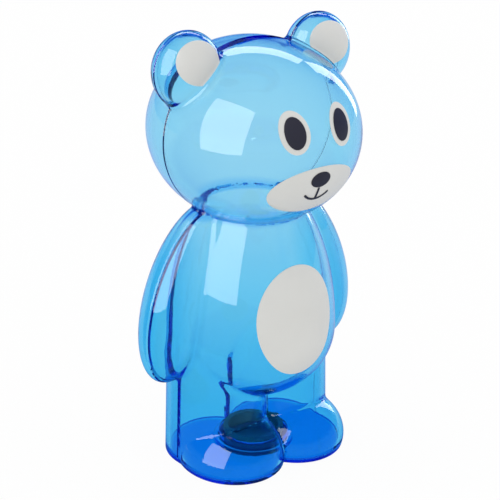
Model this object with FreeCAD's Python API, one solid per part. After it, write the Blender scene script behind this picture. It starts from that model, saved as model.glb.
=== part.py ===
# Money bank in the shape of a standing bear.
# Two see-through shells are cemented together round the figure, a base plate closes the feet, a soft stopper
# closes the hole in the plate, and the face, ears and belly are printed on the front shell in thin ink.
import FreeCAD, Part
import math
import os

os.makedirs("parts", exist_ok=True)
Vector = FreeCAD.Vector

# Driving dimensions in millimetres.
# The floor is Z = 0, the face looks along -Y, and the halves meet at Y = 0.

# Mouldings: the wall, the cement in the joints, and the tongue that lines the two halves up
wall = 2.0
cement = 0.05
tongue_length = 2.4
base_thickness = 1.8

# Body: an egg, round in plan, with a flatter bottom than top
body_width = 70.4
body_depth = 72.0
body_widest_height = 57.0
body_lower_height = 30.6
body_upper_height = 66.7

# Head: an ellipsoid that sits over the top of the body
head_width = 84.0
head_depth = 93.0
head_height = 74.5
neck_overlap = 18.6

# Ears: small ellipsoids whose centres stand just outside the head
ear_width = 29.2
ear_depth = 22.2
ear_height = 30.8
ear_angle = 45.9
ear_stand_off = 2.4

# Arms: long ellipsoids against the sides of the body, leaning in at the shoulder
arm_width = 37.2
arm_depth = 28.6
arm_length = 80.0
arm_lean = 20.6
arm_inset = 5.6
arm_rise = 19.5
arm_setback = 3.4

# Legs: columns that flare towards the floor and end in a dome inside the body
leg_width = 42.0
leg_depth = 43.4
leg_flare = 1.2
leg_height = 45.0
leg_dome = 24.0
leg_spread = 31.4
leg_setback = 3.2

# Feet: ellipsoids that stand out in front of the legs
foot_width = 45.4
foot_length = 50.0
foot_rise = 17.4
foot_centre_height = 3.8
foot_spread = 31.5
foot_advance = 8.0

# Coin slot along the joint on top of the head
slot_length = 36.0
slot_width = 4.6

# Stopper: a cup that pushes up into a stepped collar on the base plate
stopper_diameter = 26.0
stopper_length = 6.6
stopper_wall = 2.2
stopper_setback = -2.2
flange_reach = 2.0
flange_thickness = 1.4
flange_lift = 0.3
collar_height = 6.0
plug_clearance = 0.06
flange_clearance = 0.3
seat_clearance = 0.1

# Printing: ink, with a hair of air under it
ink = 0.15
ink_gap = 0.05

# Prints on the front: widths, heights, and places from the centre of the head or up from the floor
belly_print_width = 36.4
belly_print_height = 46.4
belly_print_centre = 70.2
muzzle_width = 39.0
muzzle_height = 20.6
muzzle_drop = 13.0
nose_width = 8.8
nose_height = 6.6
nose_drop = 8.2
smile_radius = 7.0
smile_half_angle = 52.0
smile_line = 0.9
smile_drop = 17.0
eye_width = 11.6
eye_height = 15.6
eye_spread = 21.2
eye_rise = 11.0
pupil_width = 8.0
pupil_height = 11.6
ear_print_width = 19.0
ear_print_height = 16.4
ear_print_rise = 4.6

# Places that follow from the sizes above
base_top = base_thickness + cement
body_top = body_widest_height + body_upper_height
head_centre = body_top - neck_overlap + head_height / 2
ear_out = math.cos(math.radians(ear_angle)) * head_width / 2
ear_up = math.sin(math.radians(ear_angle)) * head_height / 2
ear_reach = 1 + ear_stand_off / math.hypot(ear_out, ear_up)
ear_x = ear_out * ear_reach
ear_z = head_centre + ear_up * ear_reach
arm_x = body_width / 2 - arm_inset
arm_z = body_widest_height + arm_rise
figure_top = ear_z + ear_height / 2
figure_reach = head_width + arm_length + foot_length
below_floor = wall + base_thickness

# Turns about Z that hide the start of a spun surface inside its neighbours
behind_right_arm = 168
between_the_legs = 10


def ellipsoid(half_x, half_y, half_z, pole_axis):
    """Ellipsoid at the origin, with the poles of its surface along pole_axis."""
    ball = Part.makeSphere(half_y, Vector(0, 0, 0), pole_axis)
    stretch = FreeCAD.Matrix()
    stretch.scale(half_x / half_y, 1, half_z / half_y)
    return ball.transformGeometry(stretch)


def quarter_ellipse(start, end, centre):
    """Quarter of an ellipse about centre, whose half axes end at start and end."""
    arc = Part.BSplineCurve()
    poles = [start, start + end - centre, end]
    arc.buildFromPolesMultsKnots(poles, [3, 3], [0, 1], False, 2, [1, math.sqrt(0.5), 1])
    return arc.toShape()


def spun(edges, depth_ratio, turn):
    """Solid spun about Z from a closed outline in the XZ plane, its seam turned away, then flattened in Y."""
    solid = Part.Face(Part.Wire(edges)).revolve(Vector(0, 0, 0), Vector(0, 0, 1), 360)
    solid.rotate(Vector(0, 0, 0), Vector(0, 0, 1), turn)
    stretch = FreeCAD.Matrix()
    stretch.scale(1, depth_ratio, 1)
    return solid.transformGeometry(stretch)


def head(inset):
    form = ellipsoid(head_width / 2 - inset, head_depth / 2 - inset, head_height / 2 - inset, Vector(0, 1, 0))
    form.translate(Vector(0, 0, head_centre))
    return form


def body(inset):
    half_width = body_width / 2 - inset
    middle = Vector(0, 0, body_widest_height)
    bottom = Vector(0, 0, body_widest_height - body_lower_height + inset)
    side = Vector(half_width, 0, body_widest_height)
    top = Vector(0, 0, body_top - inset)
    edges = [
        quarter_ellipse(bottom, side, middle),
        quarter_ellipse(side, top, middle),
        Part.makeLine(top, bottom),
    ]
    return spun(edges, (body_depth / 2 - inset) / half_width, behind_right_arm)


def right_ear(inset):
    form = ellipsoid(ear_width / 2 - inset, ear_depth / 2 - inset, ear_height / 2 - inset, Vector(-1, 1, 0))
    form.translate(Vector(-ear_x, 0, ear_z))
    return form


def right_arm(inset):
    form = ellipsoid(arm_width / 2 - inset, arm_depth / 2 - inset, arm_length / 2 - inset, Vector(0, 0, 1))
    form.rotate(Vector(0, 0, 0), Vector(0, 1, 0), arm_lean)
    form.translate(Vector(-arm_x, arm_setback, arm_z))
    return form


def right_leg(inset):
    half_width = leg_width / 2 - inset
    flare_below = leg_flare * (1 + below_floor / leg_height)
    axis_bottom = Vector(0, 0, -below_floor)
    rim_bottom = Vector(half_width + flare_below, 0, -below_floor)
    rim_top = Vector(half_width, 0, leg_height)
    middle = Vector(0, 0, leg_height)
    axis_top = Vector(0, 0, leg_height + leg_dome - inset)
    edges = [
        Part.makeLine(axis_bottom, rim_bottom),
        Part.makeLine(rim_bottom, rim_top),
        quarter_ellipse(rim_top, axis_top, middle),
        Part.makeLine(axis_top, axis_bottom),
    ]
    form = spun(edges, (leg_depth / 2 - inset) / half_width, between_the_legs)
    form.translate(Vector(-leg_spread / 2, leg_setback, 0))
    return form


def right_foot(inset):
    form = ellipsoid(foot_width / 2 - inset, foot_length / 2 - inset, foot_rise - inset, Vector(-1, 1, 0))
    form.translate(Vector(-foot_spread / 2, -foot_advance, foot_centre_height))
    return form


def left_of(form):
    """The left-hand twin of a right-hand form."""
    return form.mirror(Vector(0, 0, 0), Vector(1, 0, 0))


def figure(inset):
    """The whole bear, shrunk by inset, running on below the floor."""
    form = body(inset).fuse(head(inset))
    for limb in (right_leg, right_foot, right_arm, right_ear):
        form = form.fuse([limb(inset), left_of(limb(inset))])
    return form


def space(y_low, y_high, z_low, z_high):
    """Block across the whole width of the figure between two depths and two heights."""
    corner = Vector(-figure_reach, y_low, z_low)
    return Part.makeBox(2 * figure_reach, y_high - y_low, z_high - z_low, corner)


def disc(radius, z_low, z_high):
    """Round plate or plug about the stopper's axis."""
    return Part.makeCylinder(radius, z_high - z_low, Vector(0, stopper_setback, z_low))


def oval_bar(x, z, width, height):
    """Oval bar that runs forward from the joint plane, for cutting a print out of a skin."""
    bar = Part.makeCylinder(width / 2, figure_reach, Vector(0, 0, 0), Vector(0, -1, 0))
    stretch = FreeCAD.Matrix()
    stretch.scale(1, 1, height / width)
    bar = bar.transformGeometry(stretch)
    bar.translate(Vector(x, 0, z))
    return bar


def skin(form, layer):
    """Coat of ink all over a form: layer 1 lies on the plastic, layer 2 on layer 1."""
    top = layer * (ink_gap + ink)
    return form(-top).cut(form(ink - top))


def save(shape, node):
    if len(shape.Solids) == 1:
        shape = shape.Solids[0]
    shape.exportStep("parts/" + node + ".step")


# Shells: the figure parted at the joint and hollowed, with a tongue on the front half, a rebate in the rear

outside = figure(0)
hollow = figure(wall)

slot_bar = Part.makeBox(
    slot_length - slot_width,
    slot_width,
    figure_top - head_centre,
    Vector(slot_width / 2 - slot_length / 2, -slot_width / 2, head_centre),
)
slot_ends = [
    Part.makeCylinder(slot_width / 2, figure_top - head_centre, Vector(x, 0, head_centre))
    for x in (slot_width / 2 - slot_length / 2, slot_length / 2 - slot_width / 2)
]
slot = slot_bar.fuse(slot_ends)

front_half = outside.common(space(-figure_reach, 0, base_top, figure_top))
tongue = figure(wall / 2 + cement).common(space(-wall, tongue_length, base_top, figure_top))
save(front_half.fuse(tongue).cut(hollow).cut(slot), "front_shell")

rear_half = outside.common(space(cement, figure_reach, base_top, figure_top))
rebate = figure(wall / 2).common(space(-wall, tongue_length + cement, -below_floor, figure_top))
save(rear_half.cut(rebate).cut(hollow).cut(slot), "rear_shell")

# Base plate: the figure's own outline at the floor, with the stepped collar for the stopper

plug_radius = stopper_diameter / 2
hole_radius = plug_radius + plug_clearance
flange_radius = plug_radius + flange_reach
recess_radius = flange_radius + flange_clearance
flange_top = flange_lift + flange_thickness
seat_height = flange_top + seat_clearance
step_top = seat_height + wall

plate = outside.common(space(-figure_reach, figure_reach, 0, base_thickness))
collar = disc(recess_radius + wall, 0, step_top).fuse(disc(hole_radius + wall, 0, collar_height))
plate = plate.fuse(collar)
plate = plate.cut(disc(recess_radius, -below_floor, seat_height))
plate = plate.cut(disc(hole_radius, 0, collar_height + wall))
save(plate, "base_plate")

# Stopper: a cup with its open end up and a flange that stays outside the collar

plug_top = flange_top + stopper_length
cup = disc(flange_radius, flange_lift, flange_top).fuse(disc(plug_radius, flange_lift, plug_top))
cup = cup.cut(disc(plug_radius - stopper_wall, flange_top, plug_top + wall))
save(cup, "stopper")

# Prints: skins of ink cut out by oval bars

belly_patch = oval_bar(0, belly_print_centre, belly_print_width, belly_print_height)
save(skin(body, 1).common(belly_patch), "belly_print")

first_coat = skin(head, 1)
second_coat = skin(head, 2)
muzzle_z = head_centre - muzzle_drop
nose_z = head_centre - nose_drop
save(first_coat.common(oval_bar(0, muzzle_z, muzzle_width, muzzle_height)), "muzzle_print")
save(second_coat.common(oval_bar(0, nose_z, nose_width, nose_height)), "nose_print")

smile_z = head_centre - smile_drop
smile_centre = Vector(0, 0, smile_z + smile_radius)
smile_turn = math.radians(smile_half_angle)


def on_smile(radius, turn):
    return smile_centre + Vector(radius * math.sin(turn), 0, -radius * math.cos(turn))


def smile_edge(radius, turn):
    return Part.Arc(on_smile(radius, -turn), on_smile(radius, 0), on_smile(radius, turn)).toShape()


smile_outer = smile_radius + smile_line / 2
smile_inner = smile_radius - smile_line / 2
outer_edge = smile_edge(smile_outer, smile_turn)
inner_edge = smile_edge(smile_inner, smile_turn)
tips = [
    Part.makeLine(on_smile(smile_inner, turn), on_smile(smile_outer, turn))
    for turn in (-smile_turn, smile_turn)
]
smile = Part.Face(Part.Wire(Part.__sortEdges__([outer_edge, inner_edge] + tips)))
smile = smile.extrude(Vector(0, -figure_reach, 0))
lip_top = nose_z - nose_height / 2 - ink
lip_corner = Vector(-smile_line / 2, -figure_reach, smile_z)
lip = Part.makeBox(smile_line, figure_reach, lip_top - smile_z, lip_corner)
save(second_coat.common(smile.fuse(lip)), "mouth_print")

eye_z = head_centre + eye_rise
ear_oval = oval_bar(-ear_x, ear_z + ear_print_rise, ear_print_width, ear_print_height)
ear_patch = skin(right_ear, 1).common(ear_oval)
paired_prints = {
    "eye_white": first_coat.common(oval_bar(-eye_spread / 2, eye_z, eye_width, eye_height)),
    "pupil": second_coat.common(oval_bar(-eye_spread / 2, eye_z, pupil_width, pupil_height)),
    "ear_print": ear_patch.cut(head(-ink - ink_gap)),
}
for name, right_print in paired_prints.items():
    save(right_print, name + "_right")
    save(left_of(right_print), name + "_left")
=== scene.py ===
"""Looks of a bear money bank in clear blue plastic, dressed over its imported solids."""
import bpy
import bmesh
import math
import numpy as np
from mathutils import Matrix, Vector


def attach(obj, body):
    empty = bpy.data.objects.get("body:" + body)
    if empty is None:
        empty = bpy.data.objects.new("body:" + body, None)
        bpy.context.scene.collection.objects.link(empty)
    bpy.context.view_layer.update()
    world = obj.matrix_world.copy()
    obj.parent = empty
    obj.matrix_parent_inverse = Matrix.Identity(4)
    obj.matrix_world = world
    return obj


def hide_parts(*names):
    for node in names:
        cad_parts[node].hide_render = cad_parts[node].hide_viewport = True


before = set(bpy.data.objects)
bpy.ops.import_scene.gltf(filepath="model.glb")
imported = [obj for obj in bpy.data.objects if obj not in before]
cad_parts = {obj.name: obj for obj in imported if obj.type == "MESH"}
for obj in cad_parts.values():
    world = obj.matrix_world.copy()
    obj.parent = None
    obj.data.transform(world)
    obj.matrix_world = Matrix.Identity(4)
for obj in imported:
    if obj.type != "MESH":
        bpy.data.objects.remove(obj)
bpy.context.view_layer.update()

# Shells: two injection-moulded halves of clear blue styrene, cemented along a joint round the figure.
# Each is a 2 mm wall that follows the bear's rounded forms, with small fillets where limbs meet the body.
# The edge is broken on both sides of the joint. Forms are drawn in millimetres and made metres at the end.
MM = 0.001
WALL = 2.0
BODY_SIZE = (35.2, 36.0)
BODY_WIDEST, BODY_BELOW, BODY_ABOVE = 57.0, 30.6, 66.7
HEAD_CENTRE, HEAD_SIZE = (0.0, 0.0, 142.35), (42.0, 46.5, 37.25)
EAR_CENTRE, EAR_SIZE = (-30.97, 0.0, 170.75), (14.6, 11.1, 15.4)
ARM_CENTRE, ARM_SIZE, ARM_LEAN = (-29.6, 3.4, 76.5), (18.6, 14.3, 40.0), math.radians(20.6)
LEG_PLACE, LEG_SIZE, LEG_FLARE = (-15.7, 3.2), (21.0, 21.7), 1.2
LEG_HEIGHT, LEG_DOME = 45.0, 24.0
FOOT_CENTRE, FOOT_SIZE = (-15.75, -8.0, 3.8), (22.7, 25.0, 17.4)
FLOOR_JOINT = 1.85
SEAM_GAP, SEAM_CHAMFER, SEAM_DEPTH = 0.025, 0.5, 0.4
CREASE, INSTEP, NECK_FILLET = 2.0, 0.8, 1.6
TINY, WELD, SLACK = 1e-6, 1e-4, 1e-3


def egg(x, y, z, half_x, half_y, half_z):
    """Rough distance outside an ellipsoid at the origin, in millimetres."""
    near = np.sqrt((x / half_x) ** 2 + (y / half_y) ** 2 + (z / half_z) ** 2)
    slope = np.sqrt((x / half_x**2) ** 2 + (y / half_y**2) ** 2 + (z / half_z**2) ** 2)
    return near * (near - 1) / np.maximum(slope, TINY)


def filleted(first, second, size):
    """Union of two fields with a small fillet in the crease."""
    share = np.maximum(size - np.abs(first - second), 0) / size
    return np.minimum(first, second) - share**2 * size / 4


def ear_field(x, y, z, inset):
    """Rough distance outside the two ears."""
    half = [size - inset for size in EAR_SIZE]
    return egg(-np.abs(x) - EAR_CENTRE[0], y - EAR_CENTRE[1], z - EAR_CENTRE[2], *half)


def head_field(x, y, z, inset):
    """Rough distance outside the head."""
    return egg(x, y, z - HEAD_CENTRE[2], *[size - inset for size in HEAD_SIZE])


def bear(x, y, z, inset=0.0):
    """Rough distance outside the whole figure, its forms drawn in by inset."""
    side = -np.abs(x)
    height = np.where(z < BODY_WIDEST, BODY_BELOW, BODY_ABOVE) - inset
    form = egg(x, y, z - BODY_WIDEST, BODY_SIZE[0] - inset, BODY_SIZE[1] - inset, height)
    flare = LEG_FLARE * np.maximum(1 - z / LEG_HEIGHT, 0)
    half_leg = LEG_SIZE[0] - inset + flare
    deep_leg = half_leg * (LEG_SIZE[1] - inset) / (LEG_SIZE[0] - inset)
    dome = np.maximum(z - LEG_HEIGHT, 0)
    leg = egg(side - LEG_PLACE[0], y - LEG_PLACE[1], dome, half_leg, deep_leg, LEG_DOME - inset)
    foot_place = (side - FOOT_CENTRE[0], y - FOOT_CENTRE[1], z - FOOT_CENTRE[2])
    foot = egg(*foot_place, *[size - inset for size in FOOT_SIZE])
    out, up = side - ARM_CENTRE[0], z - ARM_CENTRE[2]
    across = out * math.cos(ARM_LEAN) - up * math.sin(ARM_LEAN)
    along = out * math.sin(ARM_LEAN) + up * math.cos(ARM_LEAN)
    arm = egg(across, y - ARM_CENTRE[1], along, *[size - inset for size in ARM_SIZE])
    for limb in (filleted(leg, foot, INSTEP), arm):
        form = filleted(form, limb, CREASE)
    form = filleted(form, head_field(x, y, z, inset), NECK_FILLET)
    return filleted(form, ear_field(x, y, z, inset), CREASE)


def settle(points, inset, level=0.0, axes=(0, 1, 2)):
    """Moves points along the field's slope onto the skin, or level millimetres above it."""
    rounds, hair, flattest = 4, 0.01, 0.05
    for _ in range(rounds):
        here = bear(*points.T, inset) - level
        slope = np.zeros_like(points)
        for axis in axes:
            ahead, behind = points.copy(), points.copy()
            ahead[:, axis] += hair
            behind[:, axis] -= hair
            slope[:, axis] = (bear(*ahead.T, inset) - bear(*behind.T, inset)) / (2 * hair)
        points = points - slope * (here / np.maximum((slope**2).sum(1), flattest))[:, None]
    return points


# The grid is even in x, so the bear's two sides mirror, and just off whole millimetres in y and z.
CELL = 1.0
GRID_LOW, GRID_HIGH, GRID_SHIFT = (-53.0, -48.0, -4.0), (53.0, 48.0, 188.0), (0.0, 0.137, 0.137)


def skin(inset):
    """Quads over the figure's skin: one point in each cell that the skin crosses, settled onto it."""
    axes = []
    for low, high, shift in zip(GRID_LOW, GRID_HIGH, GRID_SHIFT):
        axes.append(np.arange(low, high + CELL, CELL) + shift * CELL)
    field = bear(*np.meshgrid(*axes, indexing="ij"), inset)
    inside = field < 0
    cells = tuple(n - 1 for n in field.shape)

    # A cell's point starts at the mean of the places where the skin crosses the cell's edges.
    total, count = np.zeros(cells + (3,)), np.zeros(cells)
    for axis in range(3):
        others = [i for i in range(3) if i != axis]
        for a in (0, 1):
            for b in (0, 1):
                pick = [slice(None)] * 3
                pick[others[0]] = slice(a, a + cells[others[0]])
                pick[others[1]] = slice(b, b + cells[others[1]])
                start, end = pick.copy(), pick.copy()
                start[axis], end[axis] = slice(0, -1), slice(1, None)
                first, last = field[tuple(start)], field[tuple(end)]
                crossed = (first < 0) != (last < 0)
                share = np.where(crossed, first / np.where(crossed, first - last, 1), 0)
                total[..., axis] += share * crossed
                total[..., others[0]] += a * crossed
                total[..., others[1]] += b * crossed
                count += crossed
    used = count > 0
    number = np.full(cells, -1)
    number[used] = np.arange(used.sum())
    corner = np.stack([axes[i][np.nonzero(used)[i]] for i in range(3)], 1)
    points = corner + CELL * total[used] / count[used][:, None]

    # The four cells round each grid edge that the skin crosses give a quad, turned to face outwards.
    quads = []
    for axis in range(3):
        b, c = (axis + 1) % 3, (axis + 2) % 3
        start, end = [slice(1, -1)] * 3, [slice(1, -1)] * 3
        start[axis], end[axis] = slice(0, -1), slice(1, None)
        first, last = inside[tuple(start)], inside[tuple(end)]
        edge = np.stack(np.nonzero(first != last), 1)
        edge[:, b] += 1
        edge[:, c] += 1
        leaving = first[first != last]
        ring = []
        for step_b, step_c in ((-1, -1), (0, -1), (0, 0), (-1, 0)):
            place = edge.copy()
            place[:, b] += step_b
            place[:, c] += step_c
            ring.append(number[tuple(place.T)])
        ring = np.stack(ring, 1)
        ring[~leaving] = ring[~leaving][:, ::-1]
        quads.append(ring)
    return settle(points, inset), np.concatenate(quads)


def add_skin(mesh, points, quads):
    """Adds the points and quads of one skin to the shell's mesh."""
    made = bpy.data.meshes.new("skin")
    made.from_pydata(points.tolist(), [], quads.tolist())
    mesh.from_mesh(made)
    bpy.data.meshes.remove(made)


def score(mesh, place, outward, drop=False):
    """Cuts the mesh along a plane and, where drop is set, takes away what lies beyond it."""
    everything = mesh.verts[:] + mesh.edges[:] + mesh.faces[:]
    bmesh.ops.bisect_plane(
        mesh, geom=everything, dist=WELD, plane_co=place, plane_no=outward, clear_outer=drop,
    )


def trim(mesh, place, outward):
    """Cuts the shell off at a plane and closes the cut wall."""
    score(mesh, place, outward, drop=True)
    open_edges = [edge for edge in mesh.edges if edge.is_boundary]
    bmesh.ops.triangle_fill(mesh, edges=open_edges, normal=outward, use_beauty=False)


def break_edge(mesh, facing):
    """Trims a half at the joint and takes the sharp outer edge off it."""
    score(mesh, (0, -SEAM_CHAMFER * facing, 0), (0, facing, 0))
    trim(mesh, (0, -SEAM_GAP * facing, 0), (0, facing, 0))
    band = [v for v in mesh.verts if abs(v.co.y) < SEAM_CHAMFER - SLACK]
    places = np.array([v.co for v in band])
    outer = np.abs(bear(*places.T)) < WALL / 4
    places = places[outer]
    sunk = SEAM_DEPTH * (np.abs(places[:, 1]) - SEAM_CHAMFER) / (SEAM_CHAMFER - SEAM_GAP)
    for v, place in zip(np.array(band)[outer], settle(places, 0.0, sunk, axes=(0, 2))):
        v.co.x, v.co.z = place[0], max(place[2], FLOOR_JOINT)


def piece_from(mesh, name, sharp=35):
    """Plain object at the origin from a bmesh in millimetres, smooth but for edges past sharp degrees."""
    bmesh.ops.scale(mesh, vec=(MM, MM, MM), verts=mesh.verts)
    data = bpy.data.meshes.new(name)
    mesh.to_mesh(data)
    mesh.free()
    data.shade_smooth()
    data.set_sharp_from_angle(angle=math.radians(sharp))
    made = bpy.data.objects.new(name, data)
    bpy.context.scene.collection.objects.link(made)
    return made


class Wire:
    """A socket in a node tree, so that shader maths is written as plain expressions."""

    def __init__(self, tree, socket=None):
        self.tree, self.socket = tree, socket

    def node(self, kind, settings=None, sockets=None, out=0):
        made = self.tree.nodes.new(kind)
        for key, value in (settings or {}).items():
            setattr(made, key, value)
        for key, value in (sockets or {}).items():
            if isinstance(value, Wire):
                self.tree.links.new(value.socket, made.inputs[key])
            else:
                made.inputs[key].default_value = value
        return Wire(self.tree, made.outputs[out] if len(made.outputs) else None)

    def maths(self, operation, left, right):
        return self.node("ShaderNodeMath", {"operation": operation}, {0: left, 1: right})

    def spread(self, low, high, at_low, at_high):
        """Straight run from at_low to at_high as this value goes from low to high, level beyond."""
        ends = {"Value": self, "From Min": low, "From Max": high, "To Min": at_low, "To Max": at_high}
        return self.node("ShaderNodeMapRange", {"clamp": True}, ends)

    def between(self, start, end):
        """Colour that goes from start to end as this value goes from 0 to 1."""
        colour_a, colour_b, colour_out = 6, 7, 2
        ends = {"Factor": self, colour_a: start, colour_b: end}
        return self.node("ShaderNodeMix", {"data_type": "RGBA"}, ends, out=colour_out)

    def either(self, other):
        """The larger of two values, so that two masks are joined."""
        return self.maths("MAXIMUM", self, other)

    def __abs__(self):
        return self.either(0 - self)

    def __add__(self, other):
        return self.maths("ADD", self, other)

    def __sub__(self, other):
        return self.maths("SUBTRACT", self, other)

    def __rsub__(self, other):
        return self.maths("SUBTRACT", other, self)

    def __mul__(self, other):
        return self.maths("MULTIPLY", self, other)

    __radd__, __rmul__ = __add__, __mul__


def finish_of(name):
    """An empty material and the wire that its nodes are hung on."""
    material = bpy.data.materials.new(name)
    material.use_nodes = True
    material.node_tree.nodes.clear()
    return material, Wire(material.node_tree)


# The blue is painted deeper in the limbs, the ears, the ring of the neck and the base. Places here are in
# metres.
# This is painted shade: the wall is 2 mm everywhere, and the deeper blue stands in for light lost along
# longer paths through the plastic and in the bank's own shade.
PLAIN_TINT, PAINTED_SHADE_TINT = (0.90, 0.98, 0.965, 1.0), (0.33, 0.79, 0.93, 1.0)
BASE_PAINTED_SHADE, BASE_TOP = (0.02, 0.53, 0.96, 1.0), (0.0018, 0.0022)
LEGS_BELOW, ARMS_BEYOND, NECK = (0.03, 0.11), (0.026, 0.042), (0.104, 0.116)
RING_LOW, RING_HIGH, RING_SHARE = (0.1076, 0.1092), (0.1105, 0.1121), 0.55
EARS_BEYOND, EARS_ABOVE, EAR_SHARE = (0.026, 0.038), (0.158, 0.168), 0.45
DYE, DYE_DENSITY = (0.032, 0.70, 0.97, 1.0), 240.0
clear_blue, net = finish_of("clear_blue_styrene")
place = net.node("ShaderNodeTexCoord", out="Object")
sink = net.node("ShaderNodeTexNoise", sockets={"Vector": place, "Scale": 38.0, "Detail": 1.0})
haze = net.node("ShaderNodeTexNoise", sockets={"Vector": place, "Scale": 420.0, "Detail": 3.0})
flow = net.node("ShaderNodeBump", sockets={"Strength": 0.35, "Distance": 0.0004, "Height": sink})
height = net.node("ShaderNodeSeparateXYZ", sockets={"Vector": place}, out="Z")
side = abs(net.node("ShaderNodeSeparateXYZ", sockets={"Vector": place}, out="X"))
in_legs = height.spread(*LEGS_BELOW, 1.0, 0.0)
in_arms = side.spread(*ARMS_BEYOND, 0.0, 1.0) * height.spread(*NECK, 1.0, 0.0)
in_ears = side.spread(*EARS_BEYOND, 0.0, EAR_SHARE) * height.spread(*EARS_ABOVE, 0.0, 1.0)
in_ring = height.spread(*RING_LOW, 0.0, RING_SHARE) * height.spread(*RING_HIGH, 1.0, 0.0)
in_base = height.spread(*BASE_TOP, 1.0, 0.0)
# Painted shade: the plain tint is mixed towards the deeper blue in the limbs, ears, neck ring and base.
tint_with_painted_shade = in_legs.either(in_arms).either(in_ears).between(PLAIN_TINT, PAINTED_SHADE_TINT)
plastic = net.node("ShaderNodeBsdfPrincipled", sockets={
    "Base Color": (in_ring + in_base).between(tint_with_painted_shade, BASE_PAINTED_SHADE),
    "Roughness": 0.015 + 0.03 * haze,
    "IOR": 1.5,
    "Transmission Weight": 1.0,
    "Normal": flow,
})
tint = net.node("ShaderNodeVolumeAbsorption", sockets={"Color": DYE, "Density": DYE_DENSITY})
net.node("ShaderNodeOutputMaterial", sockets={"Surface": plastic, "Volume": tint})

outer_points, outer_quads = skin(0.0)
inner_points, inner_quads = skin(WALL)
shell = bmesh.new()
add_skin(shell, outer_points, outer_quads)
add_skin(shell, inner_points, inner_quads[:, ::-1])
trim(shell, (0, 0, FLOOR_JOINT), (0, 0, -1))

# Coin slot: a long hole with round ends in the top of the head, half of it in each shell.
# It runs along the joint and is cut through the wall before the two halves are parted.
SLOT_LENGTH, SLOT_WIDTH, BAR_HEIGHT = 36.0, 4.6, 50.0
ARC_STEP = 10
slot_bar = bmesh.new()
turns = np.radians(np.arange(-90, 91, ARC_STEP))
reach = SLOT_LENGTH / 2 - SLOT_WIDTH / 2
rim = [(reach + SLOT_WIDTH / 2 * math.cos(t), SLOT_WIDTH / 2 * math.sin(t)) for t in turns]
rim += [(-x, -y) for x, y in rim]
low_rim = [slot_bar.verts.new((x, y, HEAD_CENTRE[2])) for x, y in rim]
high_rim = [slot_bar.verts.new((x, y, HEAD_CENTRE[2] + BAR_HEIGHT)) for x, y in rim]
slot_bar.faces.new(low_rim[::-1])
slot_bar.faces.new(high_rim)
for i in range(len(rim)):
    j = (i + 1) % len(rim)
    slot_bar.faces.new((low_rim[i], low_rim[j], high_rim[j], high_rim[i]))
slot_cutter = piece_from(slot_bar, "slot_cutter")
whole_shell = piece_from(shell, "whole_shell")
cut = whole_shell.modifiers.new("slot", "BOOLEAN")
cut.operation, cut.object, cut.solver = "DIFFERENCE", slot_cutter, "EXACT"
with_slot = whole_shell.evaluated_get(bpy.context.evaluated_depsgraph_get())
slotted = bpy.data.meshes.new_from_object(with_slot)
for spare in (slot_cutter, whole_shell):
    bpy.data.objects.remove(spare)

for name, facing in (("front_half", 1), ("rear_half", -1)):
    half = bmesh.new()
    half.from_mesh(slotted)
    bmesh.ops.scale(half, vec=(1 / MM, 1 / MM, 1 / MM), verts=half.verts)
    break_edge(half, facing)
    half_shell = piece_from(half, name)
    half_shell.data.materials.append(clear_blue)
    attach(half_shell, "bank")
    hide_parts(name.replace("half", "shell"))

# Prints: off-white and dark brown ink, pad-printed on the finished front shell in two passes.
# Each is a thin film that follows the plastic under it, the dark ink over the white.
INK, INK_GAP = 0.15, 0.05
BELLY_UP, BELLY = 70.2, (18.2, 23.2)
MUZZLE_UP, MUZZLE = HEAD_CENTRE[2] - 13.0, (19.5, 10.3)
NOSE_UP, NOSE = HEAD_CENTRE[2] - 8.2, (4.4, 3.3)
SMILE_UP, SMILE_RADIUS, SMILE_TURN = HEAD_CENTRE[2] - 17.0, 7.0, math.radians(52)
LIP_TOP, MOUTH_LINE = NOSE_UP - 3.45, 0.9
EAR_PRINT_UP, EAR_PRINT, EAR_MARGIN = EAR_CENTRE[2] + 4.6, (9.5, 8.2), 0.6
EYE_OUT, EYE_UP = 10.6, HEAD_CENTRE[2] + 11.0
EYE_WHITE, PUPIL = (5.8, 7.8), (4.0, 5.8)
OVAL_STEPS, SMILE_STEPS, LIP_STEPS = 41, 41, 15


def front_of(x, z, lift):
    """Depth of the figure's front at each place, lift millimetres above the plastic."""
    start, rounds, stride = -60.0, 60, 0.9
    y = np.full(x.shape, start)
    for _ in range(rounds):
        y = y + stride * (bear(x, y, z) - lift)
    return y


def film(x, z, coat):
    """Closed film of ink over a grid of places: a front, a back and a rim. Coat 2 lies over coat 1."""
    rows, columns = x.shape
    base = (coat - 1) * (INK + INK_GAP) + INK_GAP
    mesh = bmesh.new()
    sheets = []
    for lift in (base + INK, base):
        places = np.stack([x, front_of(x, z, lift), z], 2)
        sheets.append([[mesh.verts.new(place) for place in row] for row in places.tolist()])
    front, back = sheets
    for r in range(rows - 1):
        for c in range(columns - 1):
            mesh.faces.new((front[r][c], front[r][c + 1], front[r + 1][c + 1], front[r + 1][c]))
            mesh.faces.new((back[r][c], back[r + 1][c], back[r + 1][c + 1], back[r][c + 1]))
    edge = [(0, c) for c in range(columns - 1)] + [(r, columns - 1) for r in range(rows - 1)]
    edge += [(rows - 1, c) for c in range(columns - 1, 0, -1)] + [(r, 0) for r in range(rows - 1, 0, -1)]
    for (r, c), (next_r, next_c) in zip(edge, edge[1:] + edge[:1]):
        mesh.faces.new((front[next_r][next_c], front[r][c], back[r][c], back[next_r][next_c]))
    bmesh.ops.remove_doubles(mesh, verts=mesh.verts, dist=WELD)
    bmesh.ops.recalc_face_normals(mesh, faces=mesh.faces)
    return mesh


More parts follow.
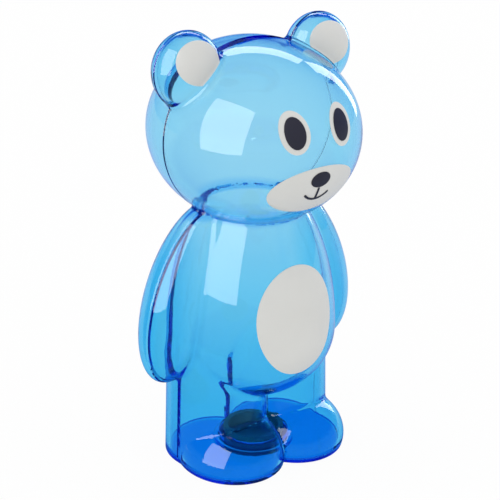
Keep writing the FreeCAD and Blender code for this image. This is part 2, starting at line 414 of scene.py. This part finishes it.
def oval(across, up, half_x, half_z, kept=None):
    """Grid of places over an oval, as a square pressed round, and drawn in where kept says no."""
    halvings = 30
    steps = np.linspace(-1, 1, OVAL_STEPS)
    u, v = np.meshgrid(steps, steps, indexing="ij")
    far = np.maximum(np.abs(u), np.abs(v))
    round_off = far / np.maximum(np.hypot(u, v), TINY)
    u, v = u * round_off * half_x, v * round_off * half_z
    if kept is not None:
        low, high = np.zeros_like(u), np.ones_like(u)
        edge = np.maximum(far, TINY)
        for _ in range(halvings):
            middle = (low + high) / 2
            stays = kept(across + u * middle / edge, up + v * middle / edge)
            low, high = np.where(stays, middle, low), np.where(stays, high, middle)
        u, v = u * low, v * low
    return across + u, up + v


def on_ear(x, z):
    """True where the ear stands clear in front of the head."""
    y = front_of(x, z, 0.0)
    return ear_field(x, y, z, 0.0) < head_field(x, y, z, 0.0) - EAR_MARGIN


def stroke(path_x, path_z):
    """Grid of places along a line of the mouth, with round ends."""
    rows, blunt, half = 5, 0.02, MOUTH_LINE / 2
    run_x, run_z = np.gradient(path_x), np.gradient(path_z)
    run = np.hypot(run_x, run_z)
    gone = np.concatenate([[0], np.cumsum(np.hypot(np.diff(path_x), np.diff(path_z)))])
    to_end = np.minimum(gone, gone[-1] - gone)
    taper = np.sqrt(np.clip(1 - (1 - np.minimum(to_end / half, 1)) ** 2, blunt, 1))
    side = np.linspace(-half, half, rows)[:, None] * taper
    return path_x - side * run_z / run, path_z + side * run_x / run


def ink(name, colour, shade):
    """Dried ink: almost matt, with a faint unevenness of film and colour."""
    material, net = finish_of(name)
    place = net.node("ShaderNodeTexCoord", out="Object")
    grain = net.node("ShaderNodeTexNoise", sockets={"Vector": place, "Scale": 900.0, "Detail": 4.0})
    cloud = net.node("ShaderNodeTexNoise", sockets={"Vector": place, "Scale": 70.0, "Detail": 2.0})
    relief = net.node("ShaderNodeBump", sockets={"Strength": 0.15, "Distance": 0.0001, "Height": grain})
    paint = net.node("ShaderNodeBsdfPrincipled", sockets={
        "Base Color": cloud.between(shade, colour),
        "Roughness": 0.38 + 0.14 * grain,
        "Normal": relief,
    })
    net.node("ShaderNodeOutputMaterial", sockets={"Surface": paint})
    return material


OFF_WHITE, OFF_WHITE_SHADE = (0.74, 0.735, 0.69, 1.0), (0.69, 0.685, 0.64, 1.0)
BROWN, BROWN_SHADE = (0.038, 0.028, 0.023, 1.0), (0.030, 0.022, 0.018, 1.0)
white_ink = ink("white_ink", OFF_WHITE, OFF_WHITE_SHADE)
dark_ink = ink("dark_ink", BROWN, BROWN_SHADE)
smile = np.linspace(-SMILE_TURN, SMILE_TURN, SMILE_STEPS)
smile_line = stroke(SMILE_RADIUS * np.sin(smile), SMILE_UP + SMILE_RADIUS * (1 - np.cos(smile)))
lip_line = stroke(np.zeros(LIP_STEPS), np.linspace(SMILE_UP, LIP_TOP, LIP_STEPS))
prints = [
    ("belly_print", white_ink, 1, [oval(0.0, BELLY_UP, *BELLY)]),
    ("muzzle_print", white_ink, 1, [oval(0.0, MUZZLE_UP, *MUZZLE)]),
    ("nose_print", dark_ink, 2, [oval(0.0, NOSE_UP, *NOSE)]),
    ("mouth_print", dark_ink, 2, [smile_line, lip_line]),
]
for hand, sign in (("left", 1), ("right", -1)):
    ear_out = -sign * EAR_CENTRE[0]
    prints += [
        ("ear_print_" + hand, white_ink, 1, [oval(ear_out, EAR_PRINT_UP, *EAR_PRINT, on_ear)]),
        ("eye_white_" + hand, white_ink, 1, [oval(sign * EYE_OUT, EYE_UP, *EYE_WHITE)]),
        ("pupil_" + hand, dark_ink, 2, [oval(sign * EYE_OUT, EYE_UP, *PUPIL)]),
    ]
for node, material, coat, grids in prints:
    mesh = film(*grids[0], coat)
    for grid in grids[1:]:
        extra = film(*grid, coat)
        data = bpy.data.meshes.new("stroke")
        extra.to_mesh(data)
        extra.free()
        mesh.from_mesh(data)
        bpy.data.meshes.remove(data)
    printed = piece_from(mesh, node.replace("_print", "_ink"), sharp=50)
    printed.data.materials.append(material)
    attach(printed, "bank")
    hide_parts(node)

# Base plate: a flat moulding of the same plastic, cemented under the feet, with the collar for the stopper.
# The solid's own shape is right, so it only takes the plastic's finish.
base_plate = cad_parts["base_plate"]
base_plate.data.materials.clear()
base_plate.data.materials.append(clear_blue)

# Stopper: a soft dark cup pushed up into the collar, so that coins can be tipped out.
# Satin vinyl with a fine moulded grain, on the solid's own shape.
VINYL_DARK, VINYL_PALE = (0.026, 0.140, 0.170, 1.0), (0.038, 0.170, 0.205, 1.0)
stopper_vinyl, net = finish_of("stopper_vinyl")
place = net.node("ShaderNodeTexCoord", out="Object")
grain = net.node("ShaderNodeTexNoise", sockets={"Vector": place, "Scale": 1400.0, "Detail": 3.0})
bloom = net.node("ShaderNodeTexNoise", sockets={"Vector": place, "Scale": 90.0, "Detail": 2.0})
relief = net.node("ShaderNodeBump", sockets={"Strength": 0.25, "Distance": 0.0001, "Height": grain})
vinyl = net.node("ShaderNodeBsdfPrincipled", sockets={
    "Base Color": bloom.between(VINYL_DARK, VINYL_PALE),
    "Roughness": 0.42 + 0.16 * grain,
    "Normal": relief,
})
net.node("ShaderNodeOutputMaterial", sockets={"Surface": vinyl})
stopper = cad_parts["stopper"]
stopper.data.materials.clear()
stopper.data.materials.append(stopper_vinyl)

# Floor: a plain white sweep under the bank, which keeps a faint shadow.
# Under the base its glow is painted blue: painted light, for what on a real floor has come down through the
# plastic.
# What the gloss of the plastic mirrors is a dark card in front of the bank and a pale one behind.
FOOT_APART, FOOTPRINT, FOOTPRINT_BACK, FOOTPRINT_EDGE = 0.0157, (0.0222, 0.0289), 0.0035, (0.88, 1.0)
WHITE, BLUE_LIGHT, PAPER = (1.0, 1.0, 1.0, 1.0), (0.25, 0.62, 0.95, 1.0), (0.92, 0.92, 0.92, 1.0)
DARK_CARD, PALE_CARD = (0.02, 0.16, 0.55, 1.0), (0.50, 0.60, 0.80, 1.0)
CARD_AIM, CARD_EDGE = (0.566, 0.825, 0.0), (0.0, 0.15)
GLOW_SHARE = 0.95
SWEEP_HALF, SWEEP_PANES, SWEEP_DROP = 4000, 4, 0.2


def rays(net):
    """Masks for what is seen straight, seen through the plastic, and mirrored in its gloss."""
    straight = net.node("ShaderNodeLightPath", out="Is Camera Ray")
    through = net.node("ShaderNodeLightPath", out="Is Transmission Ray")
    mirrored = net.node("ShaderNodeLightPath", out="Is Glossy Ray") * (1 - through)
    return straight, through, mirrored


paper, net = finish_of("white_paper")
straight, through, mirrored = rays(net)
place = net.node("ShaderNodeTexCoord", out="Object")
side = net.node("ShaderNodeSeparateXYZ", sockets={"Vector": place}, out="X")
fore = net.node("ShaderNodeSeparateXYZ", sockets={"Vector": place}, out="Y")
across = (abs(side) - FOOT_APART) * (1 / FOOTPRINT[0])
along = (fore + FOOTPRINT_BACK) * (1 / FOOTPRINT[1])
outside = (across * across + along * along).spread(*FOOTPRINT_EDGE, 0.0, 1.0)
depth = net.node(
    "ShaderNodeVectorMath", {"operation": "DOT_PRODUCT"}, {0: place, 1: CARD_AIM}, out="Value",
)
card = depth.spread(*CARD_EDGE, 0.0, 1.0).between(DARK_CARD, PALE_CARD)
# Painted light: inside the footprint the floor's glow turns blue.
light = mirrored.between(outside.between(BLUE_LIGHT, WHITE), card)
matt = net.node("ShaderNodeBsdfDiffuse", sockets={"Color": PAPER})
glow = net.node("ShaderNodeEmission", sockets={"Color": light, "Strength": 1.0})
seen = straight.either(mirrored).either(through)
sheet = net.node("ShaderNodeMixShader", sockets={0: GLOW_SHARE * seen, 1: matt, 2: glow})
net.node("ShaderNodeOutputMaterial", sockets={"Surface": sheet})
sweep = bmesh.new()
bmesh.ops.create_grid(sweep, x_segments=SWEEP_PANES, y_segments=SWEEP_PANES, size=SWEEP_HALF)
bmesh.ops.translate(sweep, vec=(0, 0, -SWEEP_DROP), verts=sweep.verts)
floor = piece_from(sweep, "floor")
floor.data.materials.append(paper)

# Studio: a white room. In gloss, and high up through the plastic, it is seen as blue dusk.
# Three soft panels show only in gloss: a tall window at the camera's left, a strip behind and above,
# and a narrow edge panel at the right.
SWEEP_FADES, DUSK = (0.12, 0.3), (0.02, 0.16, 0.7, 1.0)
MIDDLE = Vector((0, 0, 0.1))
world = bpy.data.worlds.new("white_room")
bpy.context.scene.world = world
world.use_nodes = True
world.node_tree.nodes.clear()
net = Wire(world.node_tree)
straight, _, mirrored = rays(net)
scattered = net.node("ShaderNodeLightPath", out="Diffuse Depth").spread(0.0, 1.0, 0.0, 1.0)
aim = net.node("ShaderNodeTexCoord", out="Generated")
rise = net.node("ShaderNodeSeparateXYZ", sockets={"Vector": aim}, out="Z")
sweep_seen = rise.spread(*SWEEP_FADES, 1.0, 0.0) * (1 - mirrored)
colour = straight.either(scattered).either(sweep_seen).between(DUSK, WHITE)
room = net.node("ShaderNodeBackground", sockets={"Color": colour, "Strength": 1.0})
net.node("ShaderNodeOutputWorld", sockets={"Surface": room})

for name, azimuth, elevation, distance, width, tall, glare in (
    ("window", -77, 22, 1.0, 0.84, 1.36, 4.8),
    ("strip", 146, 46, 1.1, 0.9, 0.22, 4.0),
    ("edge", 111, 17, 1.1, 0.2, 0.8, 4.0),
):
    turn, rise = math.radians(azimuth), math.radians(elevation)
    aim = Vector((math.sin(turn) * math.cos(rise), -math.cos(turn) * math.cos(rise), math.sin(rise)))
    lamp = bpy.data.lights.new(name, "AREA")
    lamp.shape, lamp.size, lamp.size_y = "RECTANGLE", width, tall
    lamp.energy = glare * math.pi * width * tall
    holder = bpy.data.objects.new(name, lamp)
    facing_middle = aim.to_track_quat("Z", "Y").to_matrix().to_4x4()
    holder.matrix_world = Matrix.Translation(MIDDLE + aim * distance) @ facing_middle
    holder.visible_camera = holder.visible_transmission = holder.visible_diffuse = False
    bpy.context.scene.collection.objects.link(holder)

# Camera: a little above the bear's head, off to its right, as in the photograph.
# Light crosses many walls of the bank before it reaches the lens, so its path may be long.
CAMERA_PLACE = (-0.29272, -0.42516, 0.30411)
CAMERA_AHEAD, CAMERA_UP = (0.5223, 0.7614, -0.3839), (0.2103, 0.3214, 0.9233)
FOCAL_PIXELS, PICTURE_PIXELS, SENSOR = 1342.47, 500, 36.0
NEAREST, FARTHEST = 0.01, 20.0
BOUNCES, CLEAR_BOUNCES = 64, 16
camera = bpy.data.objects.new("camera", bpy.data.cameras.new("camera"))
scene = bpy.context.scene
scene.collection.objects.link(camera)
scene.camera = camera
ahead = Vector(CAMERA_AHEAD).normalized()
across = ahead.cross(Vector(CAMERA_UP)).normalized()
upward = across.cross(ahead)
turn = Matrix((across, upward, -ahead)).transposed().to_4x4()
camera.matrix_world = Matrix.Translation(CAMERA_PLACE) @ turn
camera.data.sensor_width = SENSOR
camera.data.lens = FOCAL_PIXELS / PICTURE_PIXELS * SENSOR
camera.data.clip_start, camera.data.clip_end = NEAREST, FARTHEST
scene.view_settings.view_transform = "Standard"
scene.cycles.max_bounces = BOUNCES
scene.cycles.transmission_bounces = BOUNCES
scene.cycles.glossy_bounces = BOUNCES
scene.cycles.transparent_max_bounces = CLEAR_BOUNCES
